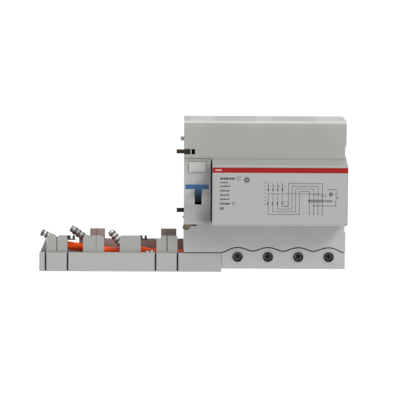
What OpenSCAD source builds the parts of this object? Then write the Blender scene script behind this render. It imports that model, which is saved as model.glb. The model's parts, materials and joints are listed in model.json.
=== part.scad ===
// Four-pole residual current block that couples to the right side of a modular circuit
// breaker. +X runs along the rail away from the breaker, +Y into the rail, +Z up.
// The origin is on the rail's centre line, in the plane where the housing seats on the
// rail, at the face that couples to the breaker.

/* [Housing] */
// Width of the housing along the rail
body_w = 116.8; // [116:0.1:119]
// Height of the top face above the rail's centre line
body_top = 50.6; // [49:0.1:52]
// Depth of the bottom edge of the front moulding below the rail's centre line
body_bottom = 56.5; // [56:0.1:57]
// Distance from the rail seat to the shoulders
shoulder_d = 44; // [44:0.1:45]
// Distance from the rail seat to the front of the nose
nose_d = 66; // [64:0.5:68]
// Height of the nose, halfway along its sloping top
nose_h = 44.4; // [44:0.1:44.8]
// Thickness of the moulded walls
wall = 2; // [1.8:0.1:2.2]
// Radius of the front edge along the top
top_r = 2; // [1.5:0.5:4]

/* [Breaker side] */
// Distance between two poles of the breaker
pole_pitch = 26.5; // [26:0.5:27]
// Distance of the comb's free end from the coupling face
comb_end = 104.4; // [104:0.1:106]
// Depth of the comb's underside below the rail's centre line
comb_bottom = 58.9; // [58.8:0.1:60]
// Depth of the comb's top edge below the rail's centre line
comb_top = 45.3; // [45.2:0.1:45.6]
// Outer radius of the insulated conductors
wire_r = 3; // [2.6:0.1:3]

/* [Terminals] */
// Distance between two output terminals
terminal_pitch = 21.95; // [21.9:0.01:22.1]
// Place of the first output terminal along the rail
terminal_x = 38.9; // [38.8:0.1:39.3]
// Depth of the terminal screws below the rail's centre line
screw_z = 47.8; // [47:0.1:48.2]
// Radius of the holes that give a screwdriver its way to the screws
access_r = 3.8; // [3.6:0.1:4]
// Radius of the cable entries in the underside
entry_r = 4.5; // [4:0.1:4.6]

/* [Controls] */
// Angle of the reset lever above level when the block is set
lever_angle = 25; // [20:0.2:26]
// Distance from the lever's pivot to the middle of its crossbar
lever_reach = 21.8; // [20:0.2:23]

/* [Hidden] */
$fn = 48;

shell_grey = [0.66, 0.66, 0.64];
steel = [0.62, 0.63, 0.65];
copper = [0.72, 0.45, 0.30];
brass = [0.70, 0.62, 0.35];
bronze = [0.33, 0.29, 0.25];
blue = [0.10, 0.36, 0.62];
black = [0.10, 0.10, 0.10];
mauve = [0.42, 0.35, 0.34];
orange = [0.80, 0.24, 0.10];

gap = 0.2;            // play between mouldings that plug together
over = 1;             // how far a cutter runs past the face that it opens

// Where the front and the rear moulding meet.
split_y = -14;
front_y = -shoulder_d;
nose_y = -nose_d;
nose_bottom = -22.3;
nose_slope = 1.15;       // rise of the nose's top from mid depth to its root
nose_root = nose_bottom + nose_h + nose_slope;
nose_front = nose_bottom + nose_h - nose_slope;
floor_z = -comb_bottom;

// The nose starts right of the toggle section, with a gap between them.
nose_x = 20;
bezel_w = 18.95;
bezel_y = -57.7;
bezel_top = 23.5;
bezel_slope = 1.1;       // fall of the toggle section's top towards its front
bezel_bottom = -22.6;
root_r = 1.5;
inner_top = 19;          // top of the space inside the nose

// Coupling pocket of each clip: far end along X, lowest and highest Z.
clip_w = 9.5;
upper_clip_z = [26.5, 30.3];
lower_clip_z = [-28.2, -22.9];
clip_back_y = -40.5;
bridge_x = [4.4, 5.2];

// Notch in the lower left corner, where the comb plugs in.
notch_x = 27.6;
notch_z = -40.2;
notch_y = -15.8;

// Bosses of the four housing screws, as [x, z].
boss_at = [[5, 44.6], [111.5, 44.6], [5, -24], [111.5, -34]];
boss_r = 3.2;

// Terminals.
function term_x(k) = terminal_x + terminal_pitch * (k - 1);
tongue_y = -30;
tongue_t = 1.5;
screw_y = -39.9;
cage_front = -34.4;
cage_back = -17;
cage_w = 13;
entry_y = -23.75;

// Vertical runs of the conductors, as [x, y], and the height of their busbars.
riser = [[22.2, -31], [22.2, -24.6], [15.8, -24.6], [15.8, -31]];
bar_z = [-6, -1, 4, 9];
bar_t = 3;
toroid_x = 19;
toroid_y = -27.8;
toroid_z = [-38.4, -30.6];

// Reset lever pivot and trip shaft, as [y, z].
pivot = [-50, -3];
shaft = [-38, -14.6];
shaft_r = 1.9;
shaft_end_r = 1.6;

// Edges of the guards that stand on the comb, one per pole, and of the bar behind them.
guard_w = 15.2;
guard_y = -42.4;
guard_top = -33.1;
bar_top = -38;
function guard_x(k) = -91.8 + (pole_pitch + 0.05) * (k - 1);

// ---------------------------------------------------------------- shapes
module box(x0, x1, y0, y1, z0, z1) {
    translate([x0, y0, z0]) cube([x1 - x0, y1 - y0, z1 - z0]);
}

// A cylinder along X, Y or Z between two places on that axis.
module rod_x(x0, x1, y, z, r) {
    translate([x0, y, z]) rotate([0, 90, 0]) cylinder(h = x1 - x0, r = r);
}
module rod_y(x, y0, y1, z, r) {
    translate([x, y1, z]) rotate([90, 0, 0]) cylinder(h = y1 - y0, r = r);
}
module rod_z(x, y, z0, z1, r) {
    translate([x, y, z0]) cylinder(h = z1 - z0, r = r);
}

// A flat shape drawn in Y and Z, extruded along X.
module along_x(x0, x1) {
    translate([x0, 0, 0]) rotate([90, 0, 90]) linear_extrude(x1 - x0) children();
}
// A flat shape drawn in X and Z, extruded along Y.
module along_y(y0, y1) {
    translate([0, y1, 0]) rotate([90, 0, 0]) linear_extrude(y1 - y0) children();
}
module rect(a, b) {
    translate(a) square(b - a);
}
// The waste outside a rounded corner at p; inward points into the material.
module corner_waste(p, inward, r) {
    low = [for (i = [0, 1]) inward[i] > 0 ? p[i] - over : p[i] - r];
    difference() {
        translate(low) square(r + over);
        translate(p + inward * r) circle(r);
    }
}
// The material that fills an inside corner at p; outward points into the open.
module corner_fill(p, outward, r) {
    low = [for (i = [0, 1]) outward[i] > 0 ? p[i] : p[i] - r];
    difference() {
        translate(low) square(r);
        translate(p + outward * r) circle(r);
    }
}
module round_rect(a, b, r) {
    difference() {
        rect(a, b);
        corner_waste(a, [1, 1], r);
        corner_waste(b, [-1, -1], r);
        corner_waste([a[0], b[1]], [1, -1], r);
        corner_waste([b[0], a[1]], [-1, 1], r);
    }
}

// ---------------------------------------------------------------- swept tubes
function unit(v) = v / norm(v);
function direction(p, i) = unit(p[min(i + 1, len(p) - 1)] - p[max(i - 1, 0)]);
// A point between p[i] and p[i + 1] on the smooth curve through all of p.
function between(p, i, t) =
    let (a = p[max(i - 1, 0)], b = p[i], c = p[i + 1], d = p[min(i + 2, len(p) - 1)])
    0.5 * (2 * b + (c - a) * t + (2 * a - 5 * b + 4 * c - d) * t * t
        + (3 * b - a - 3 * c + d) * t * t * t);
function smooth(p, n) = concat(
    [for (i = [0:len(p) - 2], k = [0:n - 1]) between(p, i, k / n)],
    [p[len(p) - 1]]);
// A ring of sides points round p[i], set off from a steady reference direction.
function ring(p, i, r, sides, ref) =
    let (t = direction(p, i), a = unit(cross(t, ref)), b = cross(t, a))
    [for (k = [0:sides - 1]) p[i] + r * (cos(360 * k / sides) * a + sin(360 * k / sides) * b)];
module tube(p, r, sides, ref) {
    n = len(p);
    points = [for (i = [0:n - 1]) each ring(p, i, r, sides, ref)];
    sides_faces = [for (i = [0:n - 2], k = [0:sides - 1])
        let (k2 = (k + 1) % sides)
        [i * sides + k, i * sides + k2, (i + 1) * sides + k2, (i + 1) * sides + k]];
    first = [for (k = [sides - 1:-1:0]) k];
    last = [for (k = [0:sides - 1]) (n - 1) * sides + k];
    polyhedron(points, concat([first, last], sides_faces), convexity = 6);
}
// A coil of wire round Z from z = 0 to z = h.
module coil(r, wire, h, turns) {
    steps = turns * 10;
    tube([for (i = [0:steps]) [r * cos(36 * i), r * sin(36 * i), h * i / steps]],
        wire, 6, [0, 0, 1]);
}

// ---------------------------------------------------------------- housing
// The wavy edge between the front moulding and the terminal cover.
wave_mean = -42.2;
wave_height = 1.32;
function wave_phase(x) = 360 * (x - terminal_x) / terminal_pitch;
function wave_end_drop(x) =
    let (past = max(terminal_x - x, x - term_x(4), 0) / (terminal_pitch / 2)) -0.9 * past * past;
function wave_z(x) = wave_mean + wave_height * cos(wave_phase(x))
    - 0.15 * cos(2 * wave_phase(x)) + wave_end_drop(x);
wave_gap = 0.43;        // half the gap along the wavy edge
cover_x = 27.35;
// Everything under the wavy edge, moved by dz, from x0 to x1.
module under_wave(x0, x1, bottom, dz) {
    n = 44;
    polygon(concat(
        [for (i = [0:n]) let (x = x0 + (x1 - x0) * i / n) [x, wave_z(x) + dz]],
        [[x1, bottom], [x0, bottom]]));
}

module rail_profile() {
    polygon([
        [split_y, body_top], [0, body_top], [0, 32], [5.5, 29], [5.5, 15.7], [1.4, 15.7],
        [1.4, 17.8], [0, 17.8], [0, -19.5], [5.5, -19.5], [5.5, -40], [0, -43],
        [0, floor_z], [split_y, floor_z]
    ]);
}

module rear_housing() {
    color(shell_grey) difference() {
        union() {
            difference() {
                along_x(0, body_w) rail_profile();
                box(wall, body_w - wall, split_y - over, -wall, -54.5, body_top - wall);
            }
            for (b = boss_at) rod_y(b[0], split_y, -wall, b[1], boss_r);
            for (x = [66, 106], z = [14, 42]) rod_y(x, -8, -wall, z, 1.8);
        }
        for (b = boss_at) {
            rod_y(b[0], split_y - over, over, b[1], 1.6);
            rod_y(b[0], -2.5, 6, b[1], 3);
        }
        // Guide of the rail clip, open to the rear and to the underside.
        box(47.8, 68.2, 0, 6, -56, -15);
        box(46.4, 69.6, 0, 2.6, -56, -19.4);
    }
}

module shoulder_profile() {
    difference() {
        rect([front_y, -body_bottom], [split_y, body_top]);
        corner_waste([front_y, body_top], [1, -1], top_r);
    }
}
// The nose's top falls towards the front; z on it at depth y.
function nose_top(y) = nose_front + (nose_root - nose_front) * (y - nose_y) / (front_y - nose_y);
module nose_slab(y0, y1) {
    polygon([[y0, nose_bottom], [y1, nose_bottom], [y1, nose_top(y1)], [y0, nose_top(y0)]]);
}
module nose_profile() {
    nose_slab(nose_y + 1.5, front_y);
    corner_fill([front_y, nose_root], [-1, 1], root_r);
}
// Shallow hollow in the right side, running out towards both ends.
module side_hollow() {
    floor_x = body_w - 0.85;
    polygon([[body_w + over, 35.4], [body_w, 34.4], [floor_x, 31.6], [floor_x, 26.9],
        [body_w, 22.9], [body_w + over, 21.9]]);
}

// The lower clip shows through a window that follows its slanted edge.
module lower_window() {
    z = lower_clip_z;
    polygon([[-over, z[0]], [3.1, z[0]], [5.3, z[1] - 2.5], [9.2, z[1] - 2.5], [9.2, z[1]],
        [-over, z[1]]]);
}

module front_housing() {
    color(shell_grey) difference() {
        union() {
            difference() {
                along_x(0, body_w) shoulder_profile();
                box(wall, body_w - wall, front_y + wall, split_y + over, -54.5, body_top - wall);
            }
            for (b = boss_at) rod_y(b[0], -30, split_y, b[1], boss_r);
            // Blocks round the coupling clips and the trip shaft's inner bearing.
            box(0, clip_w + 1.6, front_y, clip_back_y + 1.6, upper_clip_z[0] - 2, upper_clip_z[1] + 2);
            box(0, clip_w + 1.6, front_y, clip_back_y + 1.6, lower_clip_z[0] - 2, lower_clip_z[1] + 1.6);
            box(11, 13, front_y + 1, -35.5, shaft[1] - 3.5, shaft[1] + 3.5);
            // Walls of the notch for the comb.
            box(0.5, notch_x + 1.6, front_y + 1, split_y, notch_z, notch_z + 1.6);
            box(notch_x, notch_x + 1.6, front_y + 1, split_y, -body_bottom, notch_z + 1);
            box(0.5, notch_x + 1.6, notch_y, split_y, -body_bottom, notch_z + 1);
            // Barriers between the terminals.
            for (k = [1:3]) {
                x = term_x(k) + terminal_pitch / 2;
                box(x - 0.8, x + 0.8, -40.5, split_y, -55, -40);
            }
            // Pips that locate the block against the breaker.
            rod_x(-1, 1, -40, -19.4, 0.9);
            rod_x(-2.6, 1, -30, 36.6, 1.5);
        }
        for (b = boss_at) rod_y(b[0], -29, split_y + over, b[1], 1.45);
        // Pockets of the coupling clips, open to the front and to the breaker. A bridge
        // crosses the upper one, and right of it the pocket opens into the housing.
        box(-over, clip_w, front_y + 0.6, clip_back_y, upper_clip_z[0], upper_clip_z[1]);
        box(-over, bridge_x[0], front_y - over, clip_back_y, upper_clip_z[0], upper_clip_z[1]);
        box(bridge_x[1], 7.7, front_y - over, -38, upper_clip_z[0], upper_clip_z[1]);
        box(-over, clip_w, front_y + 0.9, clip_back_y, lower_clip_z[0], lower_clip_z[1]);
        along_y(front_y - over, front_y + 1) lower_window();
        // Opening behind the toggle section, and the trip shaft's bearings.
        box(wall + 0.2, bezel_w - 1.7, front_y - over, front_y + wall + over, -8.8, 21.2);
        rod_x(-over, 14, shaft[0], shaft[1], shaft_r + 0.05);
        // Opening behind the nose.
        box(nose_x + wall, body_w - wall, front_y - over, front_y + wall + over,
            nose_bottom + wall, inner_top);
        // Shadow line above the toggle section.
        box(0.3, bezel_w, front_y - over, front_y + 0.5, bezel_top - 0.1, bezel_top + 0.3);
        // Notch for the comb, with the way up for the conductors.
        box(-over, notch_x, front_y - over, front_y + wall + 0.01, floor_z - over, -comb_top + 0.65);
        box(-over, notch_x, front_y + wall, notch_y, floor_z - over, notch_z);
        box(12.4, 25.6, -34.4, -21.2, notch_z - over, notch_z + 2);
        // Seat of the terminal cover.
        along_y(front_y - over, front_y + 3) under_wave(cover_x - 0.4, body_w + over, -60, wave_gap);
        // Cable entries.
        for (k = [1:4]) rod_z(term_x(k), entry_y, -body_bottom - over, -54, entry_r);
        // Shallow hollows in the right side.
        along_y(front_y - over, -30) side_hollow();
        box(body_w - 0.7, body_w + over, front_y - over, -30, -30, nose_bottom);
    }
}

// Four walls that carry the nose, with a rounded root above.
module nose_housing() {
    color(shell_grey) difference() {
        along_x(nose_x, body_w) nose_profile();
        box(nose_x + wall, body_w - wall, nose_y, front_y + over, nose_bottom + wall, inner_top);
    }
}

module terminal_cover() {
    color(shell_grey) difference() {
        union() {
            along_y(front_y, front_y + 2.8)
                under_wave(cover_x, body_w - 0.2, -body_bottom, -wave_gap);
            for (k = [1:4]) {
                rod_y(term_x(k), front_y - 0.3, front_y, -screw_z, access_r + 1.1);
                rod_y(term_x(k), front_y + 2.7, front_y + 3.4, -screw_z, access_r + 1);
            }
        }
        for (k = [1:4])
            rod_y(term_x(k), front_y - over, front_y + 5, -screw_z, access_r);
    }
}

module nose_cover() {
    color(shell_grey) difference() {
        along_x(nose_x, body_w) difference() {
            nose_slab(nose_y, nose_y + 1.5);
            corner_waste([nose_y, nose_front], [1, -1], 0.7);
            corner_waste([nose_y, nose_bottom], [1, 1], 0.6);
        }
        box(nose_x + 0.5, body_w - 0.5, nose_y - over, nose_y + 0.3, -21.3, 19.6);
    }
}

module rating_label() {
    color([0.7, 0.7, 0.69])
        box(nose_x + 0.6, body_w - 0.6, nose_y + 0.05, nose_y + 0.3, -21.2, 19.5);
}

// ---------------------------------------------------------------- controls
button_x = [3.2, 15.5];
button_z = [15.2, 22.3];
slot_x = [7.5, 12.5];
slot_z = [-8.3, 2.7];
stem_at = [9.35, 17.4];

module bezel_profile() {
    difference() {
        polygon([[bezel_y, bezel_bottom], [front_y, bezel_bottom], [front_y, bezel_top],
            [bezel_y, bezel_top - bezel_slope]]);
        corner_waste([bezel_y, bezel_top - bezel_slope], [1, -1], 0.8);
        // Hollow under the lever.
        translate([bezel_y - 6.55, -14.65]) circle(8.85);
    }
}
module bezel_cavity() {
    difference() {
        rect([bezel_y + 1.8, bezel_bottom + 1.6], [front_y + over, bezel_top - 2.6]);
        translate([bezel_y - 6.55, -14.65]) circle(8.85 + 1.6);
    }
}
module toggle_bezel() {
    color(shell_grey) difference() {
        union() {
            difference() {
                along_x(0, bezel_w) bezel_profile();
                along_x(1.5, bezel_w - 1.5) bezel_cavity();
            }
            // Bearing cheeks of the lever.
            box(1.4, 4, -55, -45, -7, 1);
            box(14.5, bezel_w - 1.4, -55, -45, -7, 1);
            // Guide of the test button's stem.
            box(1.4, bezel_w - 1.4, -45.6, front_y, 10, bezel_top - 2.5);
        }
        box(button_x[0] - gap, button_x[1] + gap, bezel_y - over, bezel_y + 4,
            button_z[0] - gap, bezel_top + over);
        box(slot_x[0], slot_x[1], bezel_y - over, bezel_y + 4, slot_z[0], slot_z[1]);
        rod_x(2, 17, pivot[0], pivot[1], 1.5);
        rod_y(stem_at[0], -46, front_y + over, stem_at[1], 2.05);
    }
}

// The lever, drawn level, pointing to -Y from its pivot, then raised.
stem_x = [7.7, 12.3];
bar_x = [0.7, 17.5];
hub_r = 6.6;
module lever_shape() {
    rod_x(stem_x[0], stem_x[1], 0, 0, hub_r);
    box(stem_x[0], stem_x[1], -lever_reach, 0, -1.1, 1.1);
    along_x(stem_x[0], stem_x[1]) polygon([[-17, -1.1], [-8, -2.6], [-1.25, -6.4], [0, 0], [-17, 0]]);
    translate([0, -lever_reach, 0]) along_x(bar_x[0], bar_x[1]) round_rect([-1.3, -1.9], [1.2, 1.25], 0.7);
    along_x(8.6, 11.4) polygon([[-1, -3], [1, 5], [8, 3], [8, 0]]);
}
module reset_lever() {
    color(blue) translate([0, pivot[0], pivot[1]]) rotate([-lever_angle, 0, 0]) difference() {
        lever_shape();
        rod_x(6, 15, 0, 0, 1.55);
    }
}
module lever_pin() {
    color(steel) rod_x(2.2, 16.4, pivot[0], pivot[1], 1.48);
}
module lever_spring() {
    color(steel) translate([4.3, pivot[0], pivot[1]]) rotate([0, 90, 0]) coil(2.6, 0.3, 2.2, 3);
}

module test_button() {
    r = 30;
    mid_z = (button_z[0] + button_z[1]) / 2;
    color([0.72, 0.72, 0.70]) {
        difference() {
            box(button_x[0], button_x[1], bezel_y - 0.9, -55.6, button_z[0], button_z[1]);
            // The face is a shallow drum.
            along_x(0, 18) difference() {
                rect([bezel_y - 3, button_z[0] - over], [bezel_y + 1, button_z[1] + over]);
                translate([bezel_y - 0.9 + r, mid_z]) circle(r, $fn = 240);
            }
        }
        box(button_x[0] - 0.9, button_x[1] + 0.9, -55.6, -54.6, button_z[0] - 0.7, bezel_top - 2.9);
        rod_y(stem_at[0], -54.6, -43.1, stem_at[1], 2);
    }
}
module test_spring() {
    color(steel) translate([stem_at[0], -45.95, stem_at[1]]) rotate([90, 0, 0]) coil(2.9, 0.3, 6.4, 4);
}
module test_contact() {
    color(brass) {
        box(wall, 12.2, -41.4, -41, 14, 20);
        box(wall, wall + 0.4, -41.4, -34, 14, 20);
    }
}

// ---------------------------------------------------------------- inside
module circuit_board() {
    color([0.10, 0.38, 0.22]) box(62, 107.5, -9.6, -8, 10.5, 45.5);
}
module test_resistor() {
    color([0.55, 0.62, 0.68]) {
        rod_x(70, 82, -12.4, 20, 1.9);
        for (x = [68, 84]) rod_y(x, -12.4, -9.6, 20, 0.4);
        rod_x(67.6, 84.4, -12.4, 20, 0.4);
    }
}
module capacitor() {
    color(black) rod_y(96, -22, -9.6, 30, 5.5);
}
module toroid_core() {
    color(steel) translate([toroid_x, toroid_y, toroid_z[0] + 1.8]) difference() {
        cylinder(h = 4.4, r = 11);
        translate([0, 0, -over]) cylinder(h = 7, r = 9.8);
    }
}
module toroid_winding() {
    color(copper) translate([toroid_x, toroid_y, toroid_z[0] + 1.3]) difference() {
        cylinder(h = 5.4, r = 11.6);
        translate([0, 0, -over]) cylinder(h = 8, r = 9.2);
        translate([0, 0, 0.45]) difference() {
            cylinder(h = 4.5, r = 11.05);
            translate([0, 0, -over]) cylinder(h = 7, r = 9.75);
        }
    }
}
module toroid_case() {
    h = toroid_z[1] - toroid_z[0];
    color([0.85, 0.85, 0.82]) translate([toroid_x, toroid_y, toroid_z[0]]) difference() {
        cylinder(h = h, r = 13);
        translate([0, 0, -over]) cylinder(h = h + 2, r = 7.8);
        translate([0, 0, 1.2]) difference() {
            cylinder(h = h, r = 11.8);
            translate([0, 0, -over]) cylinder(h = h + 2, r = 9);
        }
    }
}
lead_route = [[29, -18, -29.4], [32, -15, -27], [38, -11, -20], [44, -10.6, -8],
    [50, -10.6, 6], [56, -10.2, 14], [61.8, -9, 16]];
module sensor_leads() {
    color([0.75, 0.75, 0.78]) tube(smooth(lead_route, 3), 0.9, 8, [0, 1, 0.3]);
}
module relay_housing() {
    color(black) difference() {
        box(40, 58, -34, -16, 22, 40);
        rod_x(39, 56, -25, 31, 1.56);
    }
}
module relay_plunger() {
    color(steel) rod_x(33, 52, -25, 31, 1.5);
}
module trip_slider() {
    color([0.85, 0.85, 0.82]) {
        box(9, 32.8, -27, -23, 29, 33);
        box(9, 12, -37, -27, 29, 33);
    }
}
module trip_shaft() {
    color(steel) {
        rod_x(-5.3, 0, shaft[0], shaft[1], shaft_end_r);
        rod_x(-0.1, 14, shaft[0], shaft[1], shaft_r);
    }
}
module trip_arm() {
    color([0.85, 0.85, 0.82]) difference() {
        union() {
            rod_x(5.2, 9.6, shaft[0], shaft[1], 3);
            box(5.2, 9.6, shaft[0] - 1.4, shaft[0] + 1.4, shaft[1], 4.5);
        }
        rod_x(4, 11, shaft[0], shaft[1], shaft_r);
    }
}

module din_clip() {
    color([0.25, 0.25, 0.26]) {
        box(48, 68, 0.15, 2.45, -52, -19.8);
        box(46.6, 69.4, 0.15, 2.45, -52, -24);
        box(48, 68, 2.4, 5.2, -52, -19.8);
        box(48, 68, 1.5, 5.2, -19.9, -15.8);
        box(52, 64, 2.4, 5.2, -54, -50);
    }
}
module clip_spring() {
    color(steel) translate([58, 1.3, -55.6]) coil(0.8, 0.2, 3.2, 3);
}

module upper_coupling_clip() {
    z = upper_clip_z;
    color(bronze) {
        box(-0.1, 4.6, front_y + 0.75, clip_back_y - 0.15, z[0] + 0.15, z[1] - 0.15);
        // The half that reaches into the breaker is narrower.
        box(-5.6, 0, front_y + 0.75, clip_back_y - 0.15, z[0] + 0.5, z[1] - 0.5);
    }
}
module lower_coupling_clip() {
    z = lower_clip_z;
    color(brass) along_y(front_y + 1.05, clip_back_y - 0.15)
        polygon([[-1, z[0] + 0.5], [-1, z[0] + 1.9], [0.4, z[1] - 0.15], [7.6, z[1] - 0.15],
            [3, z[0] + 0.2], [-0.4, z[0] + 0.2]]);
}

// ---------------------------------------------------------------- terminals
module terminal_screw(k) {
    x = term_x(k);
    color(steel) difference() {
        union() {
            rod_y(x, screw_y, screw_y + 2.4, -screw_z, 3.3);
            rod_y(x, screw_y + 2.3, tongue_y - 0.05, -screw_z, 2.45);
        }
        // Cross recess.
        for (a = [0, 90]) translate([x, screw_y, -screw_z]) rotate([0, a, 0])
            cube([4, 2.6, 0.9], center = true);
        for (a = [45, 135]) translate([x, screw_y, -screw_z]) rotate([0, a, 0])
            cube([3.4, 0.8, 0.4], center = true);
    }
}
module terminal_cage(k) {
    x = term_x(k);
    color(steel) difference() {
        box(x - cage_w / 2, x + cage_w / 2, cage_front, cage_back, -52.8, -42.8);
        box(x - cage_w / 2 + 1.5, x + cage_w / 2 - 1.5, cage_front + 2.5, cage_back - 2, -54, -42);
        rod_y(x, cage_front - over, cage_front + 3, -screw_z, 2.5);
    }
}
// A flat bar that starts on a riser, runs right and drops into its cage.
module busbar(k) {
    x = term_x(k);
    p = riser[k - 1];
    z = bar_z[k - 1];
    color(copper) {
        box(p[0] - 2.5, x + 2.5, p[1] - 1.5, p[1] + 1.5, z, z + bar_t);
        box(x - 2.5, x + 2.5, min(tongue_y, p[1] - 1.5), p[1] + 1.5, z, z + bar_t);
        box(x - 2.5, x + 2.5, tongue_y, tongue_y + tongue_t, -42, z + bar_t);
        box(x - 4.5, x + 4.5, tongue_y, tongue_y + tongue_t, -52.4, -41.5);
    }
}

// ---------------------------------------------------------------- comb
slots_x = [-99.9, -84, -99.9 + 3 * pole_pitch, -84 + 3 * pole_pitch];

module comb_base() {
    x1 = notch_x - 0.4;
    color(shell_grey) {
        box(-comb_end, x1, front_y + 1.6, -16.2, floor_z, floor_z + 1.8);
        box(-comb_end, x1, -18, -16.2, floor_z + 1.7, -46);
        box(-comb_end, -comb_end + 1.6, front_y + 1.6, -16.2, floor_z + 1.7, -comb_top - 1.4);
        // Sloping rib at the free end.
        along_y(-35.9, -34.3)
            polygon([[-comb_end, -46.8], [-100.2, -36.2], [-99.5, -36.2], [-99.5, -46.8]]);
        box(-comb_end, -99.5, -35.9, -34.3, floor_z + 1.7, -46.7);
    }
}
module comb_front() {
    color(shell_grey) difference() {
        union() {
            box(-comb_end, notch_x - 0.4, front_y - 0.5, front_y + 1.5, floor_z, -comb_top);
            box(-comb_end, notch_x - 0.6, front_y + 1.4, guard_y + 2, -comb_top - 1.4, -comb_top);
        }
        for (x = slots_x) {
            box(x - 0.65, x + 0.65, front_y - over, front_y + 1, -58.2, -comb_top + over);
            box(x - 0.4, x + 0.4, front_y - over, front_y + 1, floor_z - over, -58);
        }
    }
}
// One guard as seen from the front, about its own middle; r rounds its top corners.
module guard_outline(r) {
    difference() {
        rect([-guard_w / 2, -comb_top], [guard_w / 2, guard_top]);
        corner_waste([-guard_w / 2, guard_top], [1, -1], r);
        corner_waste([guard_w / 2, guard_top], [-1, -1], r);
    }
}
// The first guard is two halves. The left one leans outward and ends in a slope.
module first_guard_outline() {
    difference() {
        rect([0.2, -comb_top], [guard_w / 2, guard_top]);
        corner_waste([0.2, guard_top], [1, -1], 2.2);
        corner_waste([guard_w / 2, guard_top], [-1, -1], 2.2);
    }
    difference() {
        polygon([[-guard_w / 2, -comb_top], [0.5 - guard_w / 2, guard_top - 2.6], [-5.3, guard_top + 2],
            [-0.2, guard_top - 0.2], [-0.2, -comb_top]]);
        corner_waste([-0.2, guard_top - 0.2], [-1, -1], 1);
    }
    rect([-0.3, -comb_top], [0.3, guard_top - 1.3]);
}
// The last guard's left edge is a lower step.
module last_guard_outline() {
    difference() {
        guard_outline(1);
        rect([-guard_w / 2 - over, guard_top - 2.2], [-4.1, guard_top + over]);
    }
}
// Depth, half width and place of the seam in each guard, about the guard's middle.
guard_seam = [[1, 0.25, 0], [0.6, 0.13, 1.9], [0, 0, 0], [1.5, 0.3, 0]];
module cable_guard(k) {
    seam = guard_seam[k - 1];
    color(shell_grey) translate([guard_x(k), 0, 0]) {
        difference() {
            along_y(guard_y, guard_y + 2) {
                if (k == 1) first_guard_outline();
                else if (k == 4) last_guard_outline();
                else guard_outline(k == 2 ? 3 : 1.3);
            }
            if (seam[0] > 0)
                box(seam[2] - seam[1], seam[2] + seam[1], guard_y - over, guard_y + seam[0],
                    -comb_top + 1, guard_top + over);
        }
        for (x = [-guard_w / 2 + 0.3, guard_w / 2 - 1.5])
            box(x, x + 1.2, guard_y + 1.5, guard_y + 3.6, -comb_top, guard_top - 4);
    }
}
module insulator_bar() {
    color(mauve) box(-76.5, -0.2, -20.6, -18.6, floor_z + 2, bar_top);
}
// A block of two halves on the bar, behind the second and the fourth guard.
module insulator_block(i) {
    x = i == 1 ? -68.4 : -16.6;
    w = i == 1 ? 10.9 : 11.3;
    color(mauve) difference() {
        box(x, x + w, -21.2, -18.4, bar_top, -30.7);
        box(x + w * 0.42, x + w * 0.42 + 0.3, -22, -20.6, bar_top - over, -29);
    }
}

// ---------------------------------------------------------------- conductors
// Each tail is a crimped pin: where its tip and its base lie, and at what depth.
tail_tip = [[-103.8, -31, -32], [-81.9, -28, -29.5], [-53.4, -32, -31], [-28.4, -32.4, -48]];
tail_base = [[-95.8, -31, -36.2], [-70.5, -26.4, -38.1], [-45, -32, -41], [-20, -32.4, -46.6]];
tail_r = [2.6, 2.95, 2.8, 2.55];
// Points between the tail and the housing; then the riser bends up by bend_r.
bend_r = 6.4;
lane_z = [-53.95, -53.95, -47.9, -47.9];
lane_points = [
    [[-92, -31, -39.8], [-84.6, -31, -41.7], [-73.7, -31, -43.3], [-62, -31, -45.6], [-53, -31, -45.9],
        [-46.5, -31, -46.9], [-39.5, -31, -50.6], [-30, -31, -53.5], [-20, -31, -53.95],
        [-5, -31, -53.95]],
    [[-66, -25.4, -41.6], [-61.5, -24.8, -44.4], [-56, -24.6, -46.4], [-50, -24.6, -47.2],
        [-43, -24.6, -48.4], [-36, -24.6, -51], [-29, -24.6, -53.4], [-20, -24.6, -53.95],
        [-5, -24.6, -53.95]],
    [[-40, -31.2, -42.8], [-34, -29, -44.9], [-28, -26.4, -46.6], [-20, -24.8, -47.7], [-5, -24.6, -47.9]],
    [[-14, -32, -47.4], [-8, -31.3, -47.8], [-2, -31, -47.9]]
];
function route(k) =
    let (p = riser[k - 1], z = lane_z[k - 1], top = bar_z[k - 1])
    concat(
        [tail_base[k - 1] - 0.6 * unit(tail_tip[k - 1] - tail_base[k - 1])],
        lane_points[k - 1],
        [for (a = [0:30:90]) [p[0] - bend_r + bend_r * sin(a), p[1], z + bend_r - bend_r * cos(a)]],
        [[p[0], p[1], -28], [p[0], p[1], top - 0.05]]);
module conductor(k) {
    color(orange) tube(concat([tail_base[k - 1]], smooth(route(k), 3)), wire_r, 10, [0.02, 1, 0.01]);
}
// A ribbed crimp sleeve along the line from the base to the tip.
module pin_terminal(k) {
    a = tail_base[k - 1];
    b = tail_tip[k - 1];
    r = tail_r[k - 1];
    d = b - a;
    length = norm(d);
    pitch = 3.1;
    ribs = floor((length + 0.8) / pitch);
    color(steel) translate(a) rotate([0, acos(d[2] / length), atan2(d[1], d[0])])
        rotate_extrude($fn = 32) {
            rect([0, 0.01], [r - 0.45, length]);
            for (i = [0:ribs - 1]) rect([r - 0.55, 0.6 + i * pitch], [r, 2.2 + i * pitch]);
        }
}
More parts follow.
